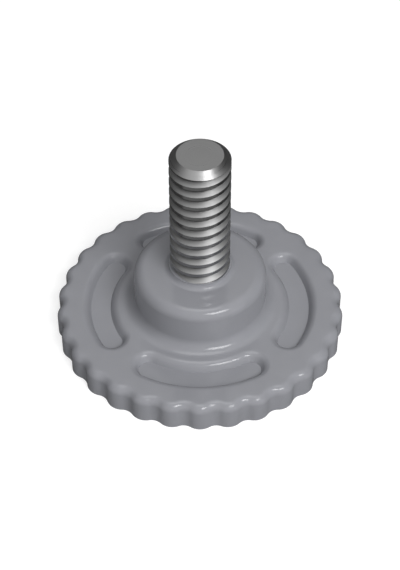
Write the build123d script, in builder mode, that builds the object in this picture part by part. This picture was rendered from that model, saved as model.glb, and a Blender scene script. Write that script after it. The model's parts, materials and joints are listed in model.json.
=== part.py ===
from build123d import *
from math import acos, atan2, cos, degrees, pi, radians, sin, sqrt, tan
import os

# Knurled thumb screw: a plastic knob moulded in one shot round a steel stud.
# Millimetres. It stands on the knob's flat underside, with the stud pointing up.
# Origin: centre of the underside. +Z runs along the stud towards its tip, and a lobe faces -Y.

# Driving dimensions of the knob
knob_radius = 15.55         # to the tips of the lobes
disc_thickness = 3.175
rim_edge_radius = 0.93      # rounding of the rim's upper edge
lobe_count = 30
flute_depth = 0.445         # from the lobe tips down to the flute bottoms
flute_radius = 1.32         # hollow of each flute, seen from above

boss_radius = 7.1
boss_rise = 5.16            # above the disc
boss_foot_radius = 1.36     # concave, between the disc and the boss
boss_edge_radius = 1.22     # convex, round the boss's top

collar_rise = 0.6           # above the boss's top, and the radius of its concave side
collar_land = 0.12          # flat ring of plastic outside the first turn of the thread

# Four kidney-shaped pockets in the disc
pocket_count = 4
pocket_depth = 0.86
pocket_draft = 30           # degrees from upright
pocket_edge_radius = 0.89   # rounding of the mouth
pocket_half_span = 30       # degrees, from a pocket's middle to the centre of its round end
boss_land = 0.27            # flat left between the boss's foot and a pocket's mouth
rim_land = 1.3              # flat left between a pocket's mouth and the rim's rounding

# Driving dimensions of the stud
stud_radius = 3.175         # over the thread's crests, 1/4 in thread
stud_length = 15.875        # from the boss's top to the tip, 5/8 in
tip_radius = 2.41           # flat end
tip_chamfer_rise = 0.62

neck_radius = 2.75          # plain blank under the thread
anchor_radius = 4.75        # grooved flange that holds the stud in the plastic
anchor_height = 3.0
anchor_floor = 1.6          # plastic below the flange
anchor_edge_chamfer = 0.3
groove_count = 24           # straight grooves in the flange's side
groove_depth = 0.4

# Heights above the underside, and the collar's radius at its top
boss_top = disc_thickness + boss_rise
collar_top = boss_top + collar_rise
collar_radius = stud_radius + collar_land
tip_height = boss_top + stud_length
anchor_top = anchor_floor + anchor_height
pocket_floor = disc_thickness - pocket_depth

# Rim: arcs that meet in line, so a lobe's radius follows from the flute's depth and radius.
# The flute's centre, the lobe's centre and the knob's axis are the corners of a triangle.
half_pitch = pi / lobe_count
flute_centre = knob_radius - flute_depth + flute_radius
lobe_radius = (
    knob_radius**2 + flute_centre**2 - 2 * knob_radius * flute_centre * cos(half_pitch) - flute_radius**2
) / (2 * (knob_radius + flute_radius - flute_centre * cos(half_pitch)))
lobe_centre = knob_radius - lobe_radius
lobe_half_arc = degrees(
    atan2(flute_centre * sin(half_pitch), flute_centre * cos(half_pitch) - lobe_centre)
)
flute_half_arc = lobe_half_arc - degrees(half_pitch)

# Pockets: the drafted wall and the rounded mouth together stand outside the floor by pocket_wall_run
draft_run = pocket_depth * tan(radians(pocket_draft))
mouth_run = pocket_edge_radius * tan(radians(90 - pocket_draft) / 2)
pocket_wall_run = draft_run + mouth_run
pocket_inner = boss_radius + boss_foot_radius + boss_land + pocket_wall_run
pocket_outer = knob_radius - flute_depth - rim_edge_radius - rim_land - pocket_wall_run
pocket_middle = (pocket_inner + pocket_outer) / 2
pocket_width = pocket_outer - pocket_inner


def polar(radius, angle):
    """Point in the XY plane at a radius and an angle in degrees."""
    return (radius * cos(radians(angle)), radius * sin(radians(angle)))


# Steel stud: tip and threaded length at the crests' diameter, neck, and grooved anchor flange
with BuildPart() as threaded_stud:
    with BuildSketch(Plane.XY.offset(anchor_floor)):
        Circle(anchor_radius)
    extrude(amount=anchor_height)
    chamfer(threaded_stud.edges().filter_by(GeomType.CIRCLE), anchor_edge_chamfer)

    # V grooves along the flange's side, each cut by a square standing on its corner
    with BuildSketch(Plane.XY.offset(anchor_floor)):
        with PolarLocations(anchor_radius, groove_count):
            Rectangle(groove_depth * sqrt(2), groove_depth * sqrt(2), rotation=45)
    extrude(amount=anchor_height, mode=Mode.SUBTRACT)

    with BuildSketch(Plane.XY.offset(anchor_top)):
        Circle(neck_radius)
    extrude(amount=collar_top - anchor_top)

    # The end above the collar carries the thread
    with BuildSketch(Plane.XY.offset(collar_top)):
        Circle(stud_radius)
    extrude(amount=tip_height - collar_top)
    chamfer(
        threaded_stud.edges().group_by(Axis.Z)[-1],
        length=tip_chamfer_rise,
        length2=stud_radius - tip_radius,
        reference=threaded_stud.faces().filter_by(GeomType.CYLINDER).sort_by(Axis.Z)[-1],
    )

threaded_stud.part.label = "threaded_stud"

# Plastic knob
with BuildPart() as knob:
    # Scalloped disc, with its upper edge rounded all the way round
    with BuildSketch():
        with BuildLine():
            for lobe in range(lobe_count):
                lobe_angle = -90 + lobe * 360 / lobe_count
                flute_angle = lobe_angle + 180 / lobe_count
                CenterArc(
                    polar(lobe_centre, lobe_angle),
                    lobe_radius,
                    lobe_angle - lobe_half_arc,
                    2 * lobe_half_arc,
                )
                CenterArc(
                    polar(flute_centre, flute_angle),
                    flute_radius,
                    flute_angle + 180 + flute_half_arc,
                    -2 * flute_half_arc,
                )
        make_face()
    extrude(amount=disc_thickness)
    fillet(knob.edges().group_by(Axis.Z)[-1], rim_edge_radius)

    # Kidney-shaped pockets, cut from the top face down to their floors
    for pocket in range(pocket_count):
        pocket_angle = -90 + pocket * 360 / pocket_count
        with BuildSketch(Plane.XY.offset(pocket_floor)):
            with BuildLine():
                pocket_path = CenterArc(
                    (0, 0), pocket_middle, pocket_angle - pocket_half_span, 2 * pocket_half_span
                )
            SlotArc(pocket_path, pocket_width)
        extrude(amount=pocket_depth, taper=-pocket_draft, mode=Mode.SUBTRACT)
        fillet(knob.edges(Select.LAST).group_by(Axis.Z)[-1], pocket_edge_radius)

    # Boss, with a concave foot on the disc and a rounded top edge
    with BuildSketch(Plane.XY.offset(disc_thickness)):
        Circle(boss_radius)
    extrude(amount=boss_rise)
    fillet(knob.edges().group_by(Axis.Z)[-1], boss_edge_radius)
    fillet(
        knob.edges().filter_by(GeomType.CIRCLE).filter_by_position(Axis.Z, disc_thickness, disc_thickness),
        boss_foot_radius,
    )

    # Small collar that the plastic forms round the first turn of the thread, drawn as half its section
    with BuildSketch(Plane.XZ):
        with BuildLine():
            collar_side = CenterArc((collar_radius + collar_rise, collar_top), collar_rise, 180, 90)
            Polyline(collar_side @ 1, (0, boss_top), (0, collar_top), collar_side @ 0)
        make_face()
    revolve(axis=Axis.Z)

    # The plastic fills every groove of the stud that it is moulded round
    add(threaded_stud.part, mode=Mode.SUBTRACT)

knob.part.label = "knob"

os.makedirs("parts", exist_ok=True)
export_step(knob.part, "parts/knob.step")
export_step(threaded_stud.part, "parts/threaded_stud.step")
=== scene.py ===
"""Finish of a knurled thumb screw: its moulded knob, its threaded steel stud and a plain studio."""

import json
import math

import bmesh
import bpy
from bpy.props import FloatProperty, FloatVectorProperty, IntProperty, PointerProperty
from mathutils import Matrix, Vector


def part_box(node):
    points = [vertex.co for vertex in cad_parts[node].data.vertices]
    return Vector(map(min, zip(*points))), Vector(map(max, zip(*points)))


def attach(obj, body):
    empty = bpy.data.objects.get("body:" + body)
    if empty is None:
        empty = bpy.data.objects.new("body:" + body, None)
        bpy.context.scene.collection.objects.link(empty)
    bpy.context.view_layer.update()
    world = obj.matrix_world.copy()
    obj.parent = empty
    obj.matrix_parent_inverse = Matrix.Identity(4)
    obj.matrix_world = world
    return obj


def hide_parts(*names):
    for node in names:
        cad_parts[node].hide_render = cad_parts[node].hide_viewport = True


bl_info = {
    "name": "Knurled Thumb Screw",
    "version": (1, 0, 0),
    "blender": (4, 5, 0),
    "location": "3D View > Sidebar > Thumb Screw",
    "description": "Makes the thumb screw's knob and threaded stud, and the studio that they stand in",
    "category": "Object",
}

MM = 0.001

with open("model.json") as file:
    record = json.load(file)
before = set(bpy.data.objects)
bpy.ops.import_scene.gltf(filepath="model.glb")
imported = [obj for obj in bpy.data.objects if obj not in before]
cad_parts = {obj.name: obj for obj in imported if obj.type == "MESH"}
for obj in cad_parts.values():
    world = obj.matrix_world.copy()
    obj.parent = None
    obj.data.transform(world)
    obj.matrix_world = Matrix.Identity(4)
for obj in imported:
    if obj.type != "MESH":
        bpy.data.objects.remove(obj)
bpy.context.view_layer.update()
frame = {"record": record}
knob_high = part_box("knob")[1]
stud_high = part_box("threaded_stud")[1]
mounts = {mount["name"]: mount for mount in frame["record"]["mounts"]}
thread_mount = mounts["stud_thread"]

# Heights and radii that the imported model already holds
BOSS_TOP = mounts["bearing_face"]["pos_m"][2]
COLLAR_TOP = knob_high.z
TIP_HEIGHT = stud_high.z
KNOB_RADIUS = knob_high.y
STUD_RADIUS = thread_mount["dims"]["r_mm"] * MM
THREAD_TOP = thread_mount["pos_m"][2] + thread_mount["dims"]["length_mm"] * MM / 2

# Settings


def linear(hex_colour):
    """The linear colour of an sRGB hex value such as '#8B8C91'."""
    channels = [int(hex_colour[i:i + 2], 16) / 255 for i in (1, 3, 5)]
    return tuple(c / 12.92 if c <= 0.04045 else ((c + 0.055) / 1.055) ** 2.4 for c in channels)


def length(name, description, default):
    """A size that a user can change, in metres."""
    return FloatProperty(
        name=name, description=description, default=default, min=0.0, unit="LENGTH", precision=6
    )


def angle(name, description, degrees):
    """An angle that a user can change, given in degrees."""
    return FloatProperty(
        name=name, description=description, default=math.radians(degrees), subtype="ANGLE", unit="ROTATION"
    )


def colour(name, description, hex_colour):
    """A colour that a user can change, given as sRGB hex."""
    return FloatVectorProperty(
        name=name,
        description=description,
        default=linear(hex_colour),
        subtype="COLOR",
        size=3,
        min=0.0,
        max=1.0,
    )


def share(name, description, default):
    """A plain number between 0 and 1 that a user can change."""
    return FloatProperty(
        name=name, description=description, default=default, min=0.0, max=1.0, subtype="FACTOR"
    )


def power(name, description, default):
    """A lamp's power that a user can change, in watts."""
    return FloatProperty(name=name, description=description, default=default, min=0.0, unit="POWER")


def count(name, description, default, fewest):
    """A number of like features that a user can change."""
    return IntProperty(name=name, description=description, default=default, min=fewest)


class KnobSettings(bpy.types.PropertyGroup):
    """Sizes and finish of the moulded knob."""

    radius: length("Radius", "From the axis to the tips of the rim's lobes", KNOB_RADIUS)
    disc_thickness: length("Disc thickness", "Height of the scalloped disc", 3.175 * MM)
    rim_edge: length("Rim edge", "Rounding of the rim's upper edge", 0.93 * MM)
    lobe_count: count("Lobes", "Lobes round the rim", 30, fewest=3)
    flute_depth: length("Flute depth", "From the lobe tips down to the flute bottoms", 0.445 * MM)
    flute_radius: length("Flute radius", "Hollow of each flute, seen from above", 1.32 * MM)
    boss_radius: length("Boss radius", "Radius of the upright wall of the boss", 7.1 * MM)
    boss_foot: length("Boss foot", "Concave radius between the disc and the boss", 1.36 * MM)
    boss_edge: length("Boss edge", "Rounding of the boss's top edge", 1.22 * MM)
    collar_land: length("Collar land", "Flat ring of plastic outside the thread's first turn", 0.12 * MM)
    pocket_count: count("Pockets", "Kidney-shaped pockets in the disc", 4, fewest=1)
    pocket_depth: length("Pocket depth", "From the disc's top down to a pocket's floor", 0.86 * MM)
    pocket_middle: length("Pocket middle", "Radius of the line along a pocket's middle", 10.81 * MM)
    pocket_width: length("Pocket width", "Width of a pocket's floor", 2.12 * MM)
    pocket_edge: length("Pocket edge", "Rounding of a pocket's mouth", 0.89 * MM)
    pocket_draft: angle("Pocket draft", "Lean of a pocket's wall from upright", 30)
    pocket_half_span: angle("Pocket half span", "From a pocket's middle to the centre of its end", 30)
    plastic: colour("Plastic", "Body colour of the nylon", "#8A8B90")
    roughness: share("Roughness", "Roughness of the moulded skin", 0.14)
    gloss: share("Gloss", "Reflection that the grain leaves the skin, 0.5 for a polished one", 0.32)


class StudSettings(bpy.types.PropertyGroup):
    """Sizes and finish of the steel stud."""

    radius: length("Radius", "Over the crests of the thread", STUD_RADIUS)
    tip_radius: length("Tip radius", "Radius of the flat end", 2.41 * MM)
    pitch: length("Pitch", "Rise of one turn of the thread", 1.3664 * MM)
    thread_depth: length("Thread depth", "From the crest down to the root", 0.54 * MM)
    crest: length("Crest", "Width of the flat crest along the axis", 0.42 * MM)
    root: length("Root", "Width of the groove's bottom along the axis", 0.20 * MM)
    phase: angle("Phase", "Turn of the thread about the axis", -48)
    neck_radius: length("Neck radius", "Plain blank inside the knob", 2.75 * MM)
    anchor_radius: length("Anchor radius", "Grooved flange inside the knob", 4.75 * MM)
    anchor_height: length("Anchor height", "Height of the flange", 3.0 * MM)
    anchor_floor: length("Anchor floor", "Plastic below the flange", 1.6 * MM)
    anchor_chamfer: length("Anchor chamfer", "Chamfer of the flange's edges", 0.3 * MM)
    groove_count: count("Grooves", "Straight grooves in the flange's side", 24, fewest=3)
    groove_depth: length("Groove depth", "Depth of the grooves in the flange's side", 0.4 * MM)
    steel: colour("Steel", "Colour that the steel gives to what it mirrors", "#9C9C9C")
    roughness: share("Roughness", "Roughness of the rolled thread", 0.42)
    crest_roughness: share("Crest roughness", "Roughness of the burnished crests", 0.2)
    tip_roughness: share("Tip roughness", "Roughness of the turned end and its chamfer", 0.31)


class StudioSettings(bpy.types.PropertyGroup):
    """Camera, floor, lamps and cards."""

    focal: FloatProperty(
        name="Focal length", description="Length of the lens", default=104.24, min=1.0, unit="CAMERA"
    )
    distance: length("Distance", "From the camera to the point that it looks at", 178.06 * MM)
    elevation: angle("Elevation", "Camera's height above the horizon", 46.21)
    look_height: length("Look height", "Height of the point that the camera looks at", 5.466 * MM)
    floor_size: length("Floor size", "Side of the floor", 4000 * MM)
    floor_rise: length("Floor rise", "Height of the floor above the knob's underside", 0.02 * MM)
    floor_paint: colour("Floor", "Colour of the floor", "#B6B6B6")
    floor_lift: share("Floor lift", "Light added to the floor for the camera, metal and glass", 0.66)
    lift_start: length("Lift start", "From the axis to where the floor's lift starts to grow", 50 * MM)
    lift_end: length("Lift end", "From the axis to where the lift alone makes the floor white", 300 * MM)
    world_strength: share("World", "Level of the soft light from all round", 0.25)
    key_power: power("Key lamp", "Power of the key lamp", 1.5)
    key_width: length("Key width", "Width of the oval key lamp", 310 * MM)
    key_height: length("Key height", "Height of the oval key lamp", 170 * MM)
    key_distance: length("Key distance", "From the screw to the key lamp", 600 * MM)
    key_azimuth: angle("Key azimuth", "Turn of the key lamp to the right of the camera", 32)
    key_elevation: angle("Key elevation", "Height of the key lamp above the horizon", 47)
    fill_power: power("Fill lamp", "Power of the large fill lamp", 3.5)
    fill_size: length("Fill size", "Width of the round fill lamp", 950 * MM)
    fill_distance: length("Fill distance", "From the screw to the fill lamp", 700 * MM)
    fill_azimuth: angle("Fill azimuth", "Turn of the fill lamp to the right of the camera", 25)
    fill_elevation: angle("Fill elevation", "Height of the fill lamp above the horizon", 36)
    top_power: power("Top lamp", "Power of the lamp overhead", 0.56)
    top_size: length("Top size", "Width of the round lamp overhead", 320 * MM)
    top_distance: length("Top distance", "From the screw to the lamp overhead", 600 * MM)
    backdrop_radius: length("Backdrop radius", "From the screw to the round backdrop", 600 * MM)
    backdrop_height: length("Backdrop height", "Height of the round backdrop", 800 * MM)
    backdrop_rise: length("Backdrop rise", "Height of the backdrop's ring above z = 0", 0.05 * MM)
    dark_level: share("Dark level", "Level of the ring and of the foot of the backdrop", 0.11)
    pale_level: share("Pale level", "Level of the upper edge of the backdrop", 1.0)
    pale_start: share("Pale start", "Where the backdrop starts to pale, against its height", 0.42)
    pale_end: share("Pale end", "Where the backdrop is fully pale, against its height", 0.95)
    side_share: share("Side share", "Level of the backdrop's sides against that of its back", 0.65)
    front_level: share("Front level", "Level of the backdrop behind the camera", 0.8)
    front_start: share("Front start", "Where the backdrop's pale front begins, against its radius", 0.2)
    front_end: share("Front end", "Where the front is at its full level, against its radius", 0.65)
    card_level: share("Card level", "Level of the grey card that lies in front of the screw", 0.26)
    card_rise: length("Card rise", "Height of the grey card above z = 0", 0.1 * MM)
    card_gap: length("Card gap", "From the knob's rim to the grey card", 2.5 * MM)
    card_reach: length("Card reach", "From the axis to the grey card's outer edge", 150 * MM)
    card_half_span: angle("Card half span", "From the middle of the grey card to its side edge", 62)


class ThumbScrewSettings(bpy.types.PropertyGroup):
    """All the settings of the thumb screw."""

    knob: PointerProperty(type=KnobSettings, name="Knob", description="Sizes and finish of the knob")
    stud: PointerProperty(type=StudSettings, name="Stud", description="Sizes and finish of the stud")
    studio: PointerProperty(type=StudioSettings, name="Studio", description="Camera, floor, lamps and cards")


# Shapes

# Straight pieces that stand for each curve, or for one turn of the thread
CIRCLE_STEPS = 192
EDGE_STEPS = 10
LOBE_STEPS = 14
FLUTE_STEPS = 10
POCKET_SIDE_STEPS = 40
POCKET_END_STEPS = 20
THREAD_STEPS = 96
CARD_STEPS = 32

# The camera's side, as an angle from +X
FRONT = -math.pi / 2


def polar(radius, turn):
    """Flat point at a radius and an angle from +X."""
    return Vector((radius * math.cos(turn), radius * math.sin(turn)))


def circle(radius):
    """Points round a circle, counter-clockwise from +X."""
    return [polar(radius, 2 * math.pi * i / CIRCLE_STEPS) for i in range(CIRCLE_STEPS)]


def rim_outline(knob, inset):
    """The rim from above, moved in by inset: a convex arc on each lobe and a concave one in each flute."""
    half_pitch = math.pi / knob.lobe_count
    flute_centre = knob.radius - knob.flute_depth + knob.flute_radius
    along = flute_centre * math.cos(half_pitch)
    lobe_radius = (knob.radius**2 + flute_centre**2 - 2 * knob.radius * along - knob.flute_radius**2) / (
        2 * (knob.radius + knob.flute_radius - along)
    )
    lobe_centre = knob.radius - lobe_radius
    lobe_arc = math.atan2(flute_centre * math.sin(half_pitch), along - lobe_centre)
    flute_arc = lobe_arc - half_pitch
    outline = []
    for lobe in range(knob.lobe_count):
        facing = FRONT + 2 * math.pi * lobe / knob.lobe_count
        for i in range(LOBE_STEPS):
            turn = facing - lobe_arc + 2 * lobe_arc * i / LOBE_STEPS
            outline.append(polar(lobe_centre, facing) + polar(lobe_radius - inset, turn))
        facing += half_pitch
        for i in range(FLUTE_STEPS):
            turn = facing + math.pi + flute_arc - 2 * flute_arc * i / FLUTE_STEPS
            outline.append(polar(flute_centre, facing) + polar(knob.flute_radius + inset, turn))
    return outline


def pocket_outline(knob, facing, grow):
    """A kidney shape seen from above, grown outwards from the pocket's floor by grow."""
    half_width = knob.pocket_width / 2 + grow
    start = facing - knob.pocket_half_span
    end = facing + knob.pocket_half_span
    outline = []
    for i in range(POCKET_SIDE_STEPS):
        turn = start + 2 * knob.pocket_half_span * i / POCKET_SIDE_STEPS
        outline.append(polar(knob.pocket_middle + half_width, turn))
    for i in range(POCKET_END_STEPS):
        turn = end + math.pi * i / POCKET_END_STEPS
        outline.append(polar(knob.pocket_middle, end) + polar(half_width, turn))
    for i in range(POCKET_SIDE_STEPS):
        turn = end - 2 * knob.pocket_half_span * i / POCKET_SIDE_STEPS
        outline.append(polar(knob.pocket_middle - half_width, turn))
    for i in range(POCKET_END_STEPS):
        turn = start + math.pi + math.pi * i / POCKET_END_STEPS
        outline.append(polar(knob.pocket_middle, start) + polar(half_width, turn))
    return outline


def anchor_outline(stud, land_radius):
    """The anchor flange seen from above: V grooves between lands at land_radius."""
    floor_radius = stud.anchor_radius - stud.groove_depth
    half_opening = (land_radius - floor_radius) / land_radius
    land = 2 * math.pi / stud.groove_count - 2 * half_opening
    land_points = CIRCLE_STEPS // stud.groove_count - 1
    outline = []
    for groove in range(stud.groove_count):
        facing = 2 * math.pi * groove / stud.groove_count
        outline.append(polar(floor_radius, facing))
        for i in range(land_points):
            outline.append(polar(land_radius, facing + half_opening + land * i / (land_points - 1)))
    return outline


def arc_profile(centre_radius, centre_height, radius, start, end):
    """Radii and heights along an arc of a turned section, angles in degrees from outwards."""
    turns = [math.radians(start + (end - start) * i / EDGE_STEPS) for i in range(EDGE_STEPS + 1)]
    return [(centre_radius + radius * math.cos(t), centre_height + radius * math.sin(t)) for t in turns]


def add_loop(shape, outline, height):
    """New vertices along an outline at one height."""
    return [shape.verts.new((point.x, point.y, height)) for point in outline]


def turned_loops(shape, profile):
    """A loop round the axis for each radius and height of a turned section."""
    return [add_loop(shape, circle(radius), height) for radius, height in profile]


def add_bands(shape, loops):
    """Bands of quads from each loop to the next one, which has as many vertices."""
    for lower, upper in zip(loops, loops[1:]):
        for i in range(len(lower)):
            j = (i + 1) % len(lower)
            shape.faces.new((lower[i], lower[j], upper[j], upper[i]))


def close_shell(shape, loops):
    """Bands between loops, lowest first, and a flat face on each end."""
    add_bands(shape, loops)
    shape.faces.new(reversed(loops[0]))
    shape.faces.new(loops[-1])


def fill_plane(shape, loops):
    """Flat faces between closed loops that lie in one plane and have their edges."""
    edges = []
    for loop in loops:
        edges += [shape.edges.get(ends) for ends in zip(loop, loop[1:] + loop[:1])]
    bmesh.ops.triangle_fill(shape, use_beauty=True, edges=edges, normal=(0, 0, 1))


def anchor_loops(shape, stud, neck_loop):
    """Loops of the hidden part of the stud, from the neck's upper end to the flange's underside."""
    top = stud.anchor_floor + stud.anchor_height
    edge = stud.anchor_chamfer
    return [
        neck_loop,
        add_loop(shape, circle(stud.neck_radius), top),
        add_loop(shape, anchor_outline(stud, stud.anchor_radius - edge), top),
        add_loop(shape, anchor_outline(stud, stud.anchor_radius), top - edge),
        add_loop(shape, anchor_outline(stud, stud.anchor_radius), stud.anchor_floor + edge),
        add_loop(shape, anchor_outline(stud, stud.anchor_radius - edge), stud.anchor_floor),
    ]


def add_pocket(shape, knob, facing):
    """A pocket's floor, drafted wall and rounded mouth, whose loop it gives back."""
    disc_top = knob.disc_thickness
    draft = math.degrees(knob.pocket_draft)
    wall_run = knob.pocket_depth * math.tan(knob.pocket_draft)
    wall_run += knob.pocket_edge * math.tan(math.radians(90 - draft) / 2)
    rows = [add_loop(shape, pocket_outline(knob, facing, 0), disc_top - knob.pocket_depth)]
    for across, height in arc_profile(0, disc_top - knob.pocket_edge, knob.pocket_edge, draft, 90):
        rows.append(add_loop(shape, pocket_outline(knob, facing, wall_run - across), height))
    shape.faces.new(rows[0])
    add_bands(shape, [row[::-1] for row in rows])
    return rows[-1]


def knob_shape(knob, stud):
    """The whole knob as one closed shell, with the cavity that the stud fills."""
    shape = bmesh.new()
    disc_top = knob.disc_thickness

    rim = [add_loop(shape, rim_outline(knob, 0), 0)]
    for across, height in arc_profile(0, disc_top - knob.rim_edge, knob.rim_edge, 0, 90):
        rim.append(add_loop(shape, rim_outline(knob, knob.rim_edge - across), height))
    add_bands(shape, rim)
    shape.faces.new(reversed(rim[0]))

    mouths = []
    for pocket in range(knob.pocket_count):
        mouths.append(add_pocket(shape, knob, FRONT + 2 * math.pi * pocket / knob.pocket_count))

    foot = knob.boss_foot
    edge = knob.boss_edge
    collar_radius = stud.radius + knob.collar_land
    collar_rise = COLLAR_TOP - BOSS_TOP
    section = arc_profile(knob.boss_radius + foot, disc_top + foot, foot, 270, 180)
    section += arc_profile(knob.boss_radius - edge, BOSS_TOP - edge, edge, 0, 90)
    section += arc_profile(collar_radius + collar_rise, COLLAR_TOP, collar_rise, 270, 180)
    section += [(stud.neck_radius, COLLAR_TOP)]
    boss = turned_loops(shape, section)
    cavity = anchor_loops(shape, stud, boss[-1])
    add_bands(shape, boss + cavity[1:])
    shape.faces.new(cavity[-1])
    fill_plane(shape, [rim[-1], boss[0], *mouths])
    return shape


def blank_shape(stud):
    """The stud before its thread is rolled, as one closed shell: flange, neck, rod and chamfered end."""
    shape = bmesh.new()
    neck = add_loop(shape, circle(stud.neck_radius), COLLAR_TOP)
    hidden = anchor_loops(shape, stud, neck)
    rod = [(stud.radius, COLLAR_TOP), (stud.radius, THREAD_TOP), (stud.tip_radius, TIP_HEIGHT)]
    close_shell(shape, hidden[::-1] + turned_loops(shape, rod))
    return shape


def slab_shape(radius, low, high):
    """A round slab between two heights."""
    shape = bmesh.new()
    close_shell(shape, turned_loops(shape, [(radius, low), (radius, high)]))
    return shape


def groove_shape(stud):
    """The helical V between the turns of a right-hand thread, open past both ends."""
    shape = bmesh.new()
    proud = 0.15 * MM
    half_root = stud.root / 2
    half_mouth = (stud.pitch - stud.crest) / 2
    half_outer = half_mouth + (half_mouth - half_root) * proud / stud.thread_depth
    section = [
        (stud.radius - stud.thread_depth, -half_root),
        (stud.radius + proud, -half_outer),
        (stud.radius + proud, half_outer),
        (stud.radius - stud.thread_depth, half_root),
    ]
    overrun = 1.5 * stud.pitch
    low = COLLAR_TOP - overrun
    high = TIP_HEIGHT + overrun
    loops = []
    for i in range(math.ceil((high - low) / stud.pitch * THREAD_STEPS) + 1):
        across = polar(1.0, 2 * math.pi * i / THREAD_STEPS + stud.phase)
        height = low + stud.pitch * i / THREAD_STEPS
        loops.append([shape.verts.new((across.x * r, across.y * r, height + z)) for r, z in section])
    close_shell(shape, loops)
    bmesh.ops.recalc_face_normals(shape, faces=shape.faces[:])
    # The helix twists its quads, and a cut through flat triangles leaves no slivers
    bmesh.ops.triangulate(shape, faces=shape.faces[:])
    return shape


def backdrop_shape(knob, studio):
    """A ring on the floor round the screw, and a round wall at its outer edge."""
    shape = bmesh.new()
    overlap = 1 * MM
    inner = add_loop(shape, circle(knob.radius - overlap), studio.backdrop_rise)
    outer = add_loop(shape, circle(studio.backdrop_radius), studio.backdrop_rise)
    upper = add_loop(shape, circle(studio.backdrop_radius), studio.backdrop_height)
    add_bands(shape, [upper, outer, inner])
    return shape


def card_shape(knob, studio):
    """Part of a flat ring, on the camera's side of the screw."""
    shape = bmesh.new()
    rows = []
    for i in range(CARD_STEPS + 1):
        turn = FRONT + studio.card_half_span * (2 * i / CARD_STEPS - 1)
        ends = [polar(radius, turn) for radius in (knob.radius + studio.card_gap, studio.card_reach)]
        rows.append([shape.verts.new((end.x, end.y, studio.card_rise)) for end in ends])
    for (inner, outer), (next_inner, next_outer) in zip(rows, rows[1:]):
        shape.faces.new((inner, outer, next_outer, next_inner))
    return shape


# Objects


def make_object(name, shape):
    """A mesh object from a bmesh."""
    mesh = bpy.data.meshes.new(name)
    shape.to_mesh(mesh)
    shape.free()
    obj = bpy.data.objects.new(name, mesh)
    bpy.context.scene.collection.objects.link(obj)
    return obj


def apply_modifiers(obj):
    """Put the result of an object's modifiers into its mesh."""
    bpy.context.view_layer.update()
    graph = bpy.context.evaluated_depsgraph_get()
    mesh = bpy.data.meshes.new_from_object(obj.evaluated_get(graph))
    mesh.name = obj.name
    obj.modifiers.clear()
    old = obj.data
    obj.data = mesh
    bpy.data.meshes.remove(old)


def combine(obj, tool, operation):
    """Apply an exact Boolean with a tool object, which is then removed."""
    boolean = obj.modifiers.new(operation.lower(), "BOOLEAN")
    boolean.operation = operation
    boolean.solver = "EXACT"
    boolean.object = tool
    apply_modifiers(obj)
    bpy.data.objects.remove(tool)


def smooth_faces(obj, sharp_degrees):
    """Smooth shading that keeps sharp edges crisp and flat faces flat."""
    obj.data.shade_smooth()
    obj.data.set_sharp_from_angle(angle=math.radians(sharp_degrees))
    weighted = obj.modifiers.new("weighted normals", "WEIGHTED_NORMAL")
    weighted.mode = "FACE_AREA"
    weighted.weight = 100
    weighted.keep_sharp = True
    apply_modifiers(obj)


def add_mirrored(name, shape, material):
    """A thing that shows only in reflections and throws no shadow."""
    obj = make_object(name, shape)
    obj.data.materials.append(material)
    obj.visible_camera = False
    obj.visible_diffuse = False
    obj.visible_shadow = False


def direction(azimuth, elevation):
    """Unit vector at an azimuth, counted from -Y to the right, and an elevation above the horizon."""
    return Vector(
        (
            math.sin(azimuth) * math.cos(elevation),
            -math.cos(azimuth) * math.cos(elevation),
            math.sin(elevation),
        )
    )


def add_lamp(name, place, target, width, height, watts):
    """An oval soft lamp that faces a target."""
    data = bpy.data.lights.new(name, "AREA")
    data.shape = "ELLIPSE"
    data.size = width
    data.size_y = height
    data.energy = watts
    lamp = bpy.data.objects.new(name, data)
    lamp.location = place
    lamp.rotation_mode = "QUATERNION"
    lamp.rotation_quaternion = (place - target).to_track_quat("Z", "Y")
    bpy.context.scene.collection.objects.link(lamp)
    return lamp


# Finishes

WHITE = (1.0, 1.0, 1.0, 1.0)


def add_node(tree, kind, inputs=None, **settings):
    """A node with its settings; inputs maps a socket's name or number to a value or to another's output."""
    node = tree.nodes.new(kind)
    for name, value in settings.items():
        setattr(node, name, value)
    for socket, value in (inputs or {}).items():
        if isinstance(value, bpy.types.NodeSocket):
            tree.links.new(value, node.inputs[socket])
        else:
            node.inputs[socket].default_value = value
    return node


def new_material(name):
    """An empty node material."""
    material = bpy.data.materials.new(name)
    material.use_nodes = True
    material.node_tree.nodes.clear()
    return material


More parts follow.
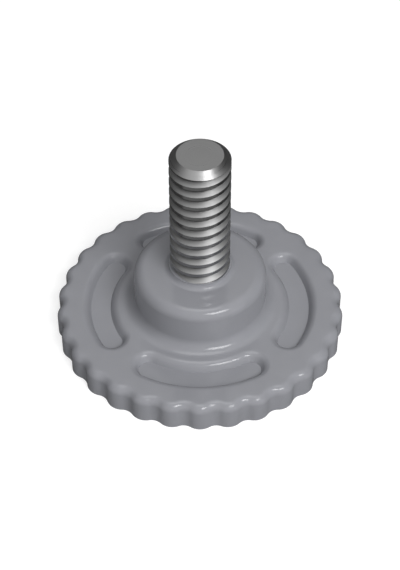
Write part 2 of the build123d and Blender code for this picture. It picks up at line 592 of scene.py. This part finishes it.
def moulded_nylon(knob):
    """Glass-filled nylon, injection moulded.

    The eye sees an even cool grey with soft clouding, under a satin skin whose fine grain breaks up
    highlights.
    """
    material = new_material("moulded_nylon")
    tree = material.node_tree
    place = add_node(tree, "ShaderNodeTexCoord").outputs["Object"]

    # Flow clouds of the glass fibres, a little off the skin's mean colour and roughness
    cloud_size = 4 * MM
    cloud_tint = 0.06
    cloud_roughness = 0.03
    clouds = add_node(
        tree, "ShaderNodeTexNoise", {"Vector": place, "Scale": 1 / cloud_size, "Detail": 2.0}
    ).outputs["Fac"]
    tint = add_node(
        tree, "ShaderNodeMapRange", {"Value": clouds, "To Min": 1 - cloud_tint, "To Max": 1 + cloud_tint}
    )
    body = add_node(
        tree, "ShaderNodeVectorMath", {0: knob.plastic, "Scale": tint.outputs["Result"]}, operation="SCALE"
    )
    sheen = add_node(
        tree,
        "ShaderNodeMapRange",
        {
            "Value": clouds,
            "To Min": knob.roughness - cloud_roughness,
            "To Max": knob.roughness + cloud_roughness,
        },
    )

    # The mould's spark grain is about 0.03 mm; it is drawn at 0.14 mm so that it shows
    grain_size = 0.14 * MM
    grain_height = 0.0015 * MM
    grain_strength = 0.12
    grain = add_node(
        tree, "ShaderNodeTexNoise", {"Vector": place, "Scale": 1 / grain_size, "Detail": 2.0}
    ).outputs["Fac"]
    bump = add_node(
        tree, "ShaderNodeBump", {"Height": grain, "Distance": grain_height, "Strength": grain_strength}
    )
    shader = add_node(
        tree,
        "ShaderNodeBsdfPrincipled",
        {
            "Base Color": body.outputs["Vector"],
            "Roughness": sheen.outputs["Result"],
            "IOR": 1.53,
            "Specular IOR Level": knob.gloss,
            "Normal": bump.outputs["Normal"],
        },
    )
    add_node(tree, "ShaderNodeOutputMaterial", {"Surface": shader.outputs["BSDF"]})
    return material


def rolled_steel(stud):
    """Plain carbon steel, cold headed, its thread rolled and its end turned.

    The eye sees bright burnished crests, satin flanks with fine streaks along them, and close rings on
    the turned end. Painted shade darkens the roots.
    """
    material = new_material("rolled_steel")
    tree = material.node_tree
    place = add_node(tree, "ShaderNodeTexCoord").outputs["Object"]
    flat = add_node(tree, "ShaderNodeVectorMath", {0: place, 1: (1.0, 1.0, 0.0)}, operation="MULTIPLY")
    radius = add_node(
        tree, "ShaderNodeVectorMath", {0: flat.outputs["Vector"]}, operation="LENGTH"
    ).outputs["Value"]

    # Each streak and ring keeps to one radius and is far longer than wide
    # They are about 0.02 mm apart, and are drawn at 0.12 mm so that they show
    streak_size = 0.12 * MM
    streak_stretch = 25
    streak_height = 0.002 * MM
    streak_strength = 0.2
    across = add_node(tree, "ShaderNodeCombineXYZ", {"X": radius})
    along = add_node(
        tree, "ShaderNodeVectorMath", {0: place, "Scale": 1 / streak_stretch}, operation="SCALE"
    )
    drawn = add_node(
        tree,
        "ShaderNodeVectorMath",
        {0: across.outputs["Vector"], 1: along.outputs["Vector"]},
        operation="ADD",
    )
    streaks = add_node(
        tree,
        "ShaderNodeTexNoise",
        {"Vector": drawn.outputs["Vector"], "Scale": 1 / streak_size, "Detail": 3.0},
    ).outputs["Fac"]
    bump = add_node(
        tree, "ShaderNodeBump", {"Height": streaks, "Distance": streak_height, "Strength": streak_strength}
    )

    # The dies burnish the crests, and the turned end is smoother than the flanks too
    burnish_start = stud.radius - 0.03 * MM
    burnish_end = stud.radius - 0.01 * MM
    height = add_node(tree, "ShaderNodeSeparateXYZ", {0: place}).outputs["Z"]
    on_tip = add_node(
        tree, "ShaderNodeMath", {0: height, 1: THREAD_TOP}, operation="GREATER_THAN"
    ).outputs[0]
    on_thread = add_node(
        tree,
        "ShaderNodeMapRange",
        {
            "Value": radius,
            "From Min": burnish_start,
            "From Max": burnish_end,
            "To Min": stud.roughness,
            "To Max": stud.crest_roughness,
        },
    )
    base = add_node(
        tree,
        "ShaderNodeMapRange",
        {"Value": on_tip, "To Min": on_thread.outputs["Result"], "To Max": stud.tip_roughness},
    )

    # The streaks vary the roughness and the tone, over the range that their noise seldom leaves
    noise_low = 0.3
    noise_high = 0.7
    smoothest = -0.04
    roughest = 0.06
    streak_tone = 0.03
    streaked = add_node(
        tree,
        "ShaderNodeMapRange",
        {
            "Value": streaks,
            "From Min": noise_low,
            "From Max": noise_high,
            "To Min": smoothest,
            "To Max": roughest,
        },
    )
    polish = add_node(
        tree, "ShaderNodeMath", {0: base.outputs["Result"], 1: streaked.outputs["Result"]}, operation="ADD"
    )
    tone = add_node(
        tree,
        "ShaderNodeMapRange",
        {
            "Value": streaks,
            "From Min": noise_low,
            "From Max": noise_high,
            "To Min": 1 - streak_tone,
            "To Max": 1 + streak_tone,
        },
    )

    # Painted shade darkens the thread's roots and fades out low on the flanks; the turned end has none
    root_shade_level = 0.4
    root_shade_share = 0.15
    root_radius = stud.radius - stud.thread_depth
    painted_root_shade = add_node(
        tree,
        "ShaderNodeMapRange",
        {
            "Value": radius,
            "From Min": root_radius,
            "From Max": root_radius + root_shade_share * stud.thread_depth,
            "To Min": root_shade_level,
            "To Max": 1.0,
        },
    )
    level = add_node(tree, "ShaderNodeMath", {0: painted_root_shade.outputs["Result"], 1: on_tip}, operation="MAXIMUM")
    shade = add_node(
        tree, "ShaderNodeMath", {0: level.outputs[0], 1: tone.outputs["Result"]}, operation="MULTIPLY"
    )
    metal = add_node(
        tree, "ShaderNodeVectorMath", {0: stud.steel, "Scale": shade.outputs[0]}, operation="SCALE"
    )
    shader = add_node(
        tree,
        "ShaderNodeBsdfPrincipled",
        {
            "Base Color": metal.outputs["Vector"],
            "Metallic": 1.0,
            "Roughness": polish.outputs[0],
            "Normal": bump.outputs["Normal"],
        },
    )
    add_node(tree, "ShaderNodeOutputMaterial", {"Surface": shader.outputs["BSDF"]})
    return material


def seen_rays(tree):
    """1 for rays from the camera, from metal and from glass, and 0 for all other rays."""
    rays = add_node(tree, "ShaderNodeLightPath").outputs
    seen = add_node(
        tree, "ShaderNodeMath", {0: rays["Is Camera Ray"], 1: rays["Is Glossy Ray"]}, operation="MAXIMUM"
    )
    shown = add_node(
        tree, "ShaderNodeMath", {0: seen.outputs[0], 1: rays["Is Transmission Ray"]}, operation="MAXIMUM"
    )
    return shown.outputs[0]


def paper_sweep(studio):
    """Seamless matt paper, which shows white and keeps the screw's soft shadow."""
    material = new_material("paper_sweep")
    tree = material.node_tree

    # The lamps reach less far than the camera, so the lift grows away from the screw
    place = add_node(tree, "ShaderNodeTexCoord").outputs["Object"]
    away = add_node(tree, "ShaderNodeVectorMath", {0: place}, operation="LENGTH")
    grown = add_node(
        tree,
        "ShaderNodeMapRange",
        {
            "Value": away.outputs["Value"],
            "From Min": studio.lift_start,
            "From Max": studio.lift_end,
            "To Min": studio.floor_lift,
            "To Max": 1.0,
        },
    )
    lift = add_node(
        tree, "ShaderNodeMath", {0: seen_rays(tree), 1: grown.outputs["Result"]}, operation="MULTIPLY"
    )
    shader = add_node(
        tree,
        "ShaderNodeBsdfPrincipled",
        {
            "Base Color": (*studio.floor_paint, 1.0),
            "Roughness": 0.9,
            "Specular IOR Level": 0.0,
            "Emission Color": WHITE,
            "Emission Strength": lift.outputs[0],
        },
    )
    add_node(tree, "ShaderNodeOutputMaterial", {"Surface": shader.outputs["BSDF"]})
    return material


def graded_card(studio):
    """Matt card, as is hung round bright metal.

    It is dark at the floor, and paler with height and towards the back. Its front is pale as well.
    """
    material = new_material("graded_card")
    tree = material.node_tree
    place = add_node(tree, "ShaderNodeTexCoord").outputs["Object"]
    parts = add_node(tree, "ShaderNodeSeparateXYZ", {0: place}).outputs
    by_height = add_node(
        tree,
        "ShaderNodeMapRange",
        {
            "Value": parts["Z"],
            "From Min": studio.pale_start * studio.backdrop_height,
            "From Max": studio.pale_end * studio.backdrop_height,
            "To Min": studio.dark_level,
            "To Max": studio.pale_level,
        },
        interpolation_type="SMOOTHSTEP",
    )
    by_depth = add_node(
        tree,
        "ShaderNodeMapRange",
        {"Value": parts["Y"], "From Max": studio.backdrop_radius, "To Min": studio.side_share},
    )
    graded = add_node(
        tree,
        "ShaderNodeMath",
        {0: by_height.outputs["Result"], 1: by_depth.outputs["Result"]},
        operation="MULTIPLY",
    )
    front = add_node(
        tree,
        "ShaderNodeMapRange",
        {
            "Value": parts["Y"],
            "From Min": -studio.front_start * studio.backdrop_radius,
            "From Max": -studio.front_end * studio.backdrop_radius,
            "To Max": studio.front_level,
        },
        interpolation_type="SMOOTHSTEP",
    )
    level = add_node(
        tree, "ShaderNodeMath", {0: graded.outputs[0], 1: front.outputs["Result"]}, operation="MAXIMUM"
    )
    glow = add_node(tree, "ShaderNodeEmission", {"Color": WHITE, "Strength": level.outputs[0]})
    add_node(tree, "ShaderNodeOutputMaterial", {"Surface": glow.outputs["Emission"]})
    return material


def grey_card(studio):
    """Matt grey card, laid in front of the screw so that the crests have a mid grey to mirror."""
    material = new_material("grey_card")
    tree = material.node_tree
    glow = add_node(tree, "ShaderNodeEmission", {"Color": WHITE, "Strength": studio.card_level})
    add_node(tree, "ShaderNodeOutputMaterial", {"Surface": glow.outputs["Emission"]})
    return material


def white_world(studio):
    """Soft light from all round, and plain white where the camera, metal or glass sees the world itself."""
    world = bpy.data.worlds.new("studio")
    world.use_nodes = True
    tree = world.node_tree
    tree.nodes.clear()
    light = add_node(tree, "ShaderNodeBackground", {"Color": WHITE, "Strength": studio.world_strength})
    shown = add_node(tree, "ShaderNodeBackground", {"Color": WHITE, "Strength": 1.0})
    mix = add_node(
        tree, "ShaderNodeMixShader", {"Fac": seen_rays(tree), 1: light.outputs[0], 2: shown.outputs[0]}
    )
    add_node(tree, "ShaderNodeOutputWorld", {"Surface": mix.outputs[0]})
    return world


# Operators and panel


class THUMBSCREW_OT_make_knob(bpy.types.Operator):
    """Make the moulded knob in place of its plain solid"""

    bl_idname = "thumbscrew.make_knob"
    bl_label = "Make Knob"

    def execute(self, context):
        settings = context.scene.thumb_screw
        obj = make_object("moulded_knob", knob_shape(settings.knob, settings.stud))
        smooth_faces(obj, sharp_degrees=35)
        obj.data.materials.append(moulded_nylon(settings.knob))
        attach(obj, "root")
        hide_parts("knob")
        return {"FINISHED"}


class THUMBSCREW_OT_make_stud(bpy.types.Operator):
    """Make the steel stud with its thread in place of its plain solid"""

    bl_idname = "thumbscrew.make_stud"
    bl_label = "Make Stud"

    def execute(self, context):
        stud = context.scene.thumb_screw.stud
        # A hair below both ends of the threaded length, so that the cut doesn't run along their edges
        clear = 0.02 * MM
        slab = slab_shape(stud.radius + stud.pitch, COLLAR_TOP - clear, THREAD_TOP - clear)
        groove = make_object("groove", groove_shape(stud))
        combine(groove, make_object("threaded_length", slab), "INTERSECT")
        obj = make_object("threaded_steel_stud", blank_shape(stud))
        combine(obj, groove, "DIFFERENCE")
        smooth_faces(obj, sharp_degrees=20)
        obj.data.materials.append(rolled_steel(stud))
        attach(obj, "root")
        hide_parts("threaded_stud")
        return {"FINISHED"}


class THUMBSCREW_OT_make_studio(bpy.types.Operator):
    """Make the floor, the lamps, the backdrop, the world and the camera"""

    bl_idname = "thumbscrew.make_studio"
    bl_label = "Make Studio"

    def execute(self, context):
        settings = context.scene.thumb_screw
        studio = settings.studio
        scene = context.scene
        target = Vector((0, 0, studio.look_height))

        shape = bmesh.new()
        bmesh.ops.create_grid(shape, x_segments=1, y_segments=1, size=studio.floor_size / 2)
        floor = make_object("floor", shape)
        # A hair above the underside, so that the two never share a plane and it shows from below
        floor.location.z = studio.floor_rise
        floor.data.materials.append(paper_sweep(studio))

        place = target + direction(studio.key_azimuth, studio.key_elevation) * studio.key_distance
        add_lamp("key", place, target, studio.key_width, studio.key_height, studio.key_power)
        place = target + direction(studio.fill_azimuth, studio.fill_elevation) * studio.fill_distance
        fill = add_lamp("fill", place, target, studio.fill_size, studio.fill_size, studio.fill_power)
        # It lifts the shadows and leaves no broad highlight of its own
        fill.visible_glossy = False
        place = target + Vector((0, 0, studio.top_distance))
        add_lamp("overhead", place, target, studio.top_size, studio.top_size, studio.top_power)
        scene.world = white_world(studio)

        # Bright metal needs something dark to show
        add_mirrored("graded_backdrop", backdrop_shape(settings.knob, studio), graded_card(studio))
        add_mirrored("front_card", card_shape(settings.knob, studio), grey_card(studio))

        data = bpy.data.cameras.new("camera")
        data.lens = studio.focal
        data.clip_start = 10 * MM
        camera = bpy.data.objects.new("camera", data)
        back = direction(0.0, studio.elevation)
        camera.location = target + back * studio.distance
        camera.rotation_mode = "QUATERNION"
        camera.rotation_quaternion = back.to_track_quat("Z", "Y")
        scene.collection.objects.link(camera)
        scene.camera = camera
        scene.view_settings.view_transform = "Standard"
        return {"FINISHED"}


class THUMBSCREW_PT_panel(bpy.types.Panel):
    """Thumb screw tools"""

    bl_idname = "THUMBSCREW_PT_panel"
    bl_label = "Thumb Screw"
    bl_space_type = "VIEW_3D"
    bl_region_type = "UI"
    bl_category = "Thumb Screw"

    def draw(self, context):
        for operator in OPERATORS:
            self.layout.operator(operator.bl_idname)


OPERATORS = (THUMBSCREW_OT_make_knob, THUMBSCREW_OT_make_stud, THUMBSCREW_OT_make_studio)
CLASSES = (
    KnobSettings,
    StudSettings,
    StudioSettings,
    ThumbScrewSettings,
    *OPERATORS,
    THUMBSCREW_PT_panel,
)


def register():
    for cls in CLASSES:
        bpy.utils.register_class(cls)
    bpy.types.Scene.thumb_screw = PointerProperty(type=ThumbScrewSettings)


def unregister():
    del bpy.types.Scene.thumb_screw
    for cls in reversed(CLASSES):
        bpy.utils.unregister_class(cls)


def main():
    register()
    bpy.ops.thumbscrew.make_knob()
    bpy.ops.thumbscrew.make_stud()
    bpy.ops.thumbscrew.make_studio()


if __name__ == "__main__":
    main()
